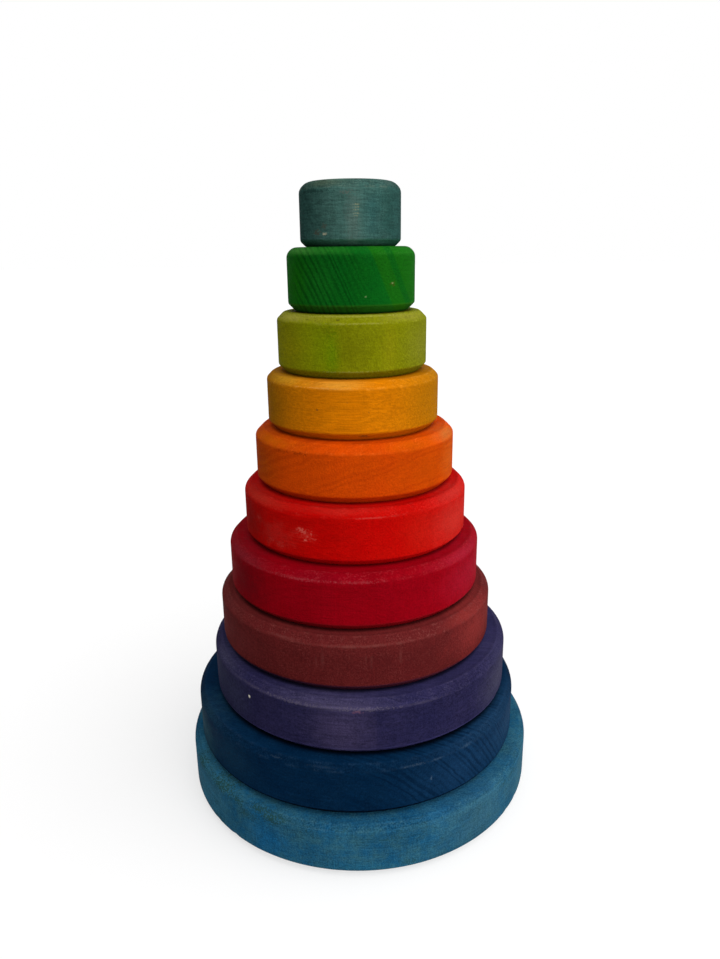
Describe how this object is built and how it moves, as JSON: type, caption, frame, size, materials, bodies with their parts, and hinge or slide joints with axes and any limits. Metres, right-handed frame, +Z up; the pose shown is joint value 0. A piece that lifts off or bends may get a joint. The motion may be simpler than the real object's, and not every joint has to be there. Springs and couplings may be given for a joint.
{
  "type": "stacking tower",
  "caption": "Conical stacking tower of chamfered wooden discs in graded sizes and colours, threaded on a loose dowel that stands in the base disc's socket.",
  "frame": {"origin": "centre of the base disc's underside, on the surface that the tower stands on", "axes": "+Z up along the dowel, the picture's camera looks along +Y, +X to its right"},
  "size_m": [0.1366, 0.1366, 0.228],
  "materials": {
    "base_stain": "matte sky-blue stain over pale wood, worn at the rims",
    "navy_stain": "matte dark-blue stain over pale wood, worn at the rims",
    "purple_stain": "matte purple stain over pale wood, worn at the rims",
    "maroon_stain": "matte maroon stain over pale wood, worn at the rims",
    "crimson_stain": "matte crimson stain over pale wood, worn at the rims",
    "red_stain": "matte red stain over pale wood, worn at the rims",
    "orange_stain": "matte orange stain over pale wood, worn at the rims",
    "yellow_stain": "matte yellow stain over pale wood, worn at the rims",
    "lime_stain": "matte lime-green stain over pale wood, worn at the rims",
    "green_stain": "matte green stain over pale wood, with growth rings showing through",
    "teal_stain": "matte grey-teal stain over pale wood, worn at the rims",
    "natural_wood": "bare sanded wood with straight grain and end grain on its ends"
  },
  "bodies": {
    "base_disc": {"base_disc": "base_stain"},
    "navy_disc": {"navy_disc": "navy_stain"},
    "purple_disc": {"purple_disc": "purple_stain"},
    "maroon_disc": {"maroon_disc": "maroon_stain"},
    "crimson_disc": {"crimson_disc": "crimson_stain"},
    "red_disc": {"red_disc": "red_stain"},
    "orange_disc": {"orange_disc": "orange_stain"},
    "yellow_disc": {"yellow_disc": "yellow_stain"},
    "lime_disc": {"lime_disc": "lime_stain"},
    "green_disc": {"green_disc": "green_stain"},
    "teal_disc": {"teal_disc": "teal_stain"},
    "dowel": {"dowel": "natural_wood"}
  },
  "joints": [
    {"name": "dowel_pull", "type": "slide", "parent": "base_disc", "child": "dowel", "axis": [0, 0, 1], "range_m": [0, 0.23]},
    {"name": "navy_lift", "type": "slide", "parent": "base_disc", "child": "navy_disc", "axis": [0, 0, 1], "range_m": [0, 0.2125]},
    {"name": "purple_lift", "type": "slide", "parent": "navy_disc", "child": "purple_disc", "axis": [0, 0, 1], "range_m": [0, 0.192]},
    {"name": "maroon_lift", "type": "slide", "parent": "purple_disc", "child": "maroon_disc", "axis": [0, 0, 1], "range_m": [0, 0.171]},
    {"name": "crimson_lift", "type": "slide", "parent": "maroon_disc", "child": "crimson_disc", "axis": [0, 0, 1], "range_m": [0, 0.1505]},
    {"name": "red_lift", "type": "slide", "parent": "crimson_disc", "child": "red_disc", "axis": [0, 0, 1], "range_m": [0, 0.1295]},
    {"name": "orange_lift", "type": "slide", "parent": "red_disc", "child": "orange_disc", "axis": [0, 0, 1], "range_m": [0, 0.109]},
    {"name": "yellow_lift", "type": "slide", "parent": "orange_disc", "child": "yellow_disc", "axis": [0, 0, 1], "range_m": [0, 0.0885]},
    {"name": "lime_lift", "type": "slide", "parent": "yellow_disc", "child": "lime_disc", "axis": [0, 0, 1], "range_m": [0, 0.0685]},
    {"name": "green_lift", "type": "slide", "parent": "lime_disc", "child": "green_disc", "axis": [0, 0, 1], "range_m": [0, 0.0475]},
    {"name": "teal_lift", "type": "slide", "parent": "green_disc", "child": "teal_disc", "axis": [0, 0, 1], "range_m": [0, 0.026]}
  ]
}
